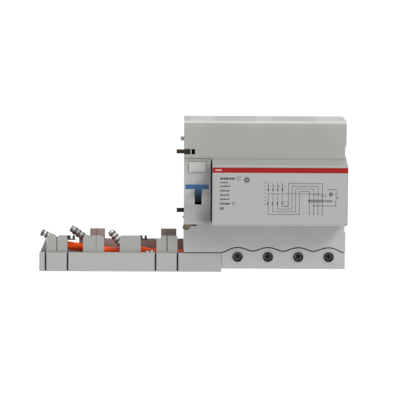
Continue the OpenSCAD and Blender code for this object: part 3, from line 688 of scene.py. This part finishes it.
def wiring(ink):
    """A generic line drawing: four lines that loop up and over through a row of coils."""
    thin = 0.36
    link_z = 0.8
    for i in range(4):
        x = 59.9 + 3.35 * i
        up_x = 82.1 - 2.63 * i
        down_x = 89.3 + 3.07 * i
        low_z = -14.1 + 1.95 * i
        top_z = 2.4 + 1.94 * i
        ink.stroke([(x, 8), (x, 2.6)], 0.5)
        ink.shape([(x, 2.2), (x + 0.75, 4.1), (x - 0.75, 4.1)])
        ink.stroke([(x, link_z), (x, low_z), (up_x, low_z), (up_x, top_z), (down_x, top_z),
                    (down_x, -14)], thin)
        ink.disc(down_x, -13.4, 0.4, 12)
        ink.stroke([(x - 0.5, -5.3), (x - 0.2, -7.2)], 0.6)
        words(ink, x - 0.9, 9.2, 0.55, [0.5])
        words(ink, x + 1.1, 6.4, 0.7, [0.5])
    for i in range(7):
        words(ink, 57.3, 9.1 - 2.6 * i, 0.6, [0.75])
    # Mechanical link, drawn dashed.
    for i in range(21):
        ink.stroke([(59.4 + 1.9 * i, link_z), (60.6 + 1.9 * i, link_z)], 0.4)
    # Coils in a row, with a ring at their right.
    for i in range(12):
        ink.stroke([(88.7 + 0.95 * i, -3.55), (88.7 + 0.95 * i, -5)], 0.62)
    ink.circle(101.1, -4.3, 0.75, 0.36, 14)
    for i in range(4):
        ink.stroke([(102.6 + 0.95 * i, -3.7), (102.6 + 0.95 * i, -4.9)], 0.55)
    ink.stroke([(71.2, -4.6), (74, -4.6), (74, -8), (71.2, -8), (71.2, -4.6)], 0.18)
    ink.stroke([(102.4, 3.9), (108.2, 3.9), (108.2, -1)], 0.42)
    ink.circle(104.6, 0.5, 1.1, 0.5, 14)
    ink.disc(104.6, 0.5, 0.5, 12)
    ink.circle(109.2, -2.1, 0.7, 0.3, 12)
    ink.stroke([(108.1, -3.8), (108.1, -7.8), (92, -7.8)], 0.42)
    ink.stroke([(92, 0.2), (102, 0.2)], 0.26)
    ink.stroke([(97.2, -1.1), (102, -1.1)], 0.26)


# ------------------------------------------------------------------ shaded faces
JOINT_X = (26.5, 29)
HOLES_X = [mount["pos_m"][0] / MM for mount in frame["record"]["mounts"]
           if "screw_access" in mount["name"]]
SCREW_Z = -47.8
HOLE_R = 3.9
RECESS_R = 2.4
RECESS_FROM, RECESS_TO = 0.3, 1.4
COMB_FLOOR_Y = -43.4
SHOULDER_TOP_Z = 48
ROOT_Z = (23, 26)
GUARD_BUTT_X = 3.2
SEAM_Y = (-42.3, -40.6)
SEAM_HALF = 0.5


def off_the_joint(edge):
    """Leaves the butt joint between the comb and the terminal cover square."""
    return not all(JOINT_X[0] * MM < v.co.x < JOINT_X[1] * MM for v in edge.verts)


def shade(piece, slot, chosen):
    """Gives the chosen faces of a piece a second look: here always painted shade or a painted highlight.
    """
    piece.data.materials.append(look(slot))
    for face in piece.data.polygons:
        if chosen(face.center / MM, face.normal):
            face.material_index = len(piece.data.materials) - 1


def in_hole(centre, normal):
    """Walls of the four screwdriver holes."""
    reach = min(math.hypot(centre.x - x, centre.z - SCREW_Z) for x in HOLES_X)
    return abs(normal.y) < 0.5 and reach < HOLE_R


def in_pocket(centre, _normal):
    """Floors and walls of the two pockets behind the coupling clips."""
    deep = -43.2 < centre.y < -38 and -0.5 < centre.x < 9.7
    return deep and (26.3 < centre.z < 30.5 or -28.4 < centre.z < -22.7)


def box_piece(name, low, high, slot, dark=None):
    """A plain box between two corners, in millimetres, with its slot's look or a darker look of painted
    shade.
    """
    build = bmesh.new()
    bmesh.ops.create_cube(build, size=1)
    for v in build.verts:
        v.co = Vector([(a + b) / 2 + (b - a) * c for a, b, c in zip(low, high, v.co)]) * MM
    piece = new_piece(name, build)
    piece.data.materials.append(look(dark or slot))
    return finish_piece(piece, "nose_housing", replace=False, slot=slot)


# ------------------------------------------------------------------ the object
make_camera()
make_light()
make_floor()
for name, node in nodes.items():
    node.data.materials.clear()
    node.data.materials.append(look(NODE_SLOT[name]))
    smooth_by_angle(node.data)

SOFT_EDGES = {
    "front_housing": 0.3, "rear_housing": 0.3, "nose_housing": 0.25, "nose_cover": 0.25,
    "toggle_bezel": 0.3, "reset_lever": 0.2, "test_button": 0.25, "comb_base": 0.3,
    "insulator_bar": 0.3, "din_clip": 0.3, "cable_clips": 0.15, "upper_coupling_clip": 0.15,
    "lower_coupling_clip": 0.15, "trip_shaft": 0.15, "insulator_block_1": 0.9,
    "insulator_block_2": 0.9,
}
soft = {name: softened(name, width) for name, width in SOFT_EDGES.items()}
for k in range(1, 5):
    guard = f"cable_guard_{k}"
    low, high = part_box(guard)
    middle = (low.x + high.x) / 2
    soft[guard] = softened(guard, 0.25, lambda e: all(
        abs(v.co.x - middle) > GUARD_BUTT_X * MM for v in e.verts))

cover = softened("terminal_cover", 0.25, off_the_joint)
shade(cover, "bore_shade", in_hole)
comb = softened("comb_front", 0.25, off_the_joint)
shade(comb, "comb_shadow", lambda centre, normal: normal.y < -0.9 and centre.y > COMB_FLOOR_Y)
# Terminal screws: their rounded edges take a pale metal look, a painted glint, and their recess floors
# painted shadow.
for k in range(1, 5):
    screw = softened(f"terminal_screw_{k}", 0.22, segments=1, edge_look="painted_screw_glint")
    face_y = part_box(f"terminal_screw_{k}")[0].y / MM
    shade(screw, "comb_shadow",
          lambda centre, normal: face_y + RECESS_FROM < centre.y < face_y + RECESS_TO
          and math.hypot(centre.x - HOLES_X[k - 1], centre.z - SCREW_Z) < RECESS_R)
# The rounded top front edge of the housing: paler colour as a painted highlight, with a glossier finish.
shade(soft["front_housing"], "painted_edge_highlight",
      lambda centre, normal: centre.z > SHOULDER_TOP_Z and normal.y < -0.25 and normal.z > 0.25)
# Painted shade on the fillet where the shoulder meets the nose.
for name in ("front_housing", "nose_housing"):
    shade(soft[name], "painted_root_shade",
          lambda centre, normal: ROOT_Z[0] < centre.z < ROOT_Z[1]
          and normal.y < -0.1 and normal.z > 0.1)
# Painted shadow along the seams of guards 1 and 4.
for k, seam_x, slot in ((1, -91.8, "comb_shadow"), (4, -12.15, "painted_gap_shade")):
    shade(soft[f"cable_guard_{k}"], slot,
          lambda centre, normal: abs(centre.x - seam_x) < SEAM_HALF
          and SEAM_Y[0] < centre.y < SEAM_Y[1])

# Painted shadow on the floors and walls of the pockets behind the coupling clips.
shade(soft["front_housing"], "comb_shadow", in_pocket)

# Sealing strips under and beside the test button, which close most of the play round it.
box_piece("button_strip_low", (3.1, -57.4, 15.02), (15.6, -55.75, 15.16), "bezel_grey")
box_piece("button_strip_side", (15.54, -57.4, 15.2), (15.68, -55.75, 21.8), "bezel_grey")
# Dark strips in the narrow gap between the toggle section and the nose: painted shade of the gap.
box_piece("gap_floor", (19, -44.25, -22), (19.95, -44.02, 22), "clip_black", "painted_gap_shade")
box_piece("gap_wall", (19.86, -57, -22), (19.97, -44.25, 22), "clip_black", "painted_gap_shade")

for k in range(4):
    cable(k)
    crimp(k)
label_print()
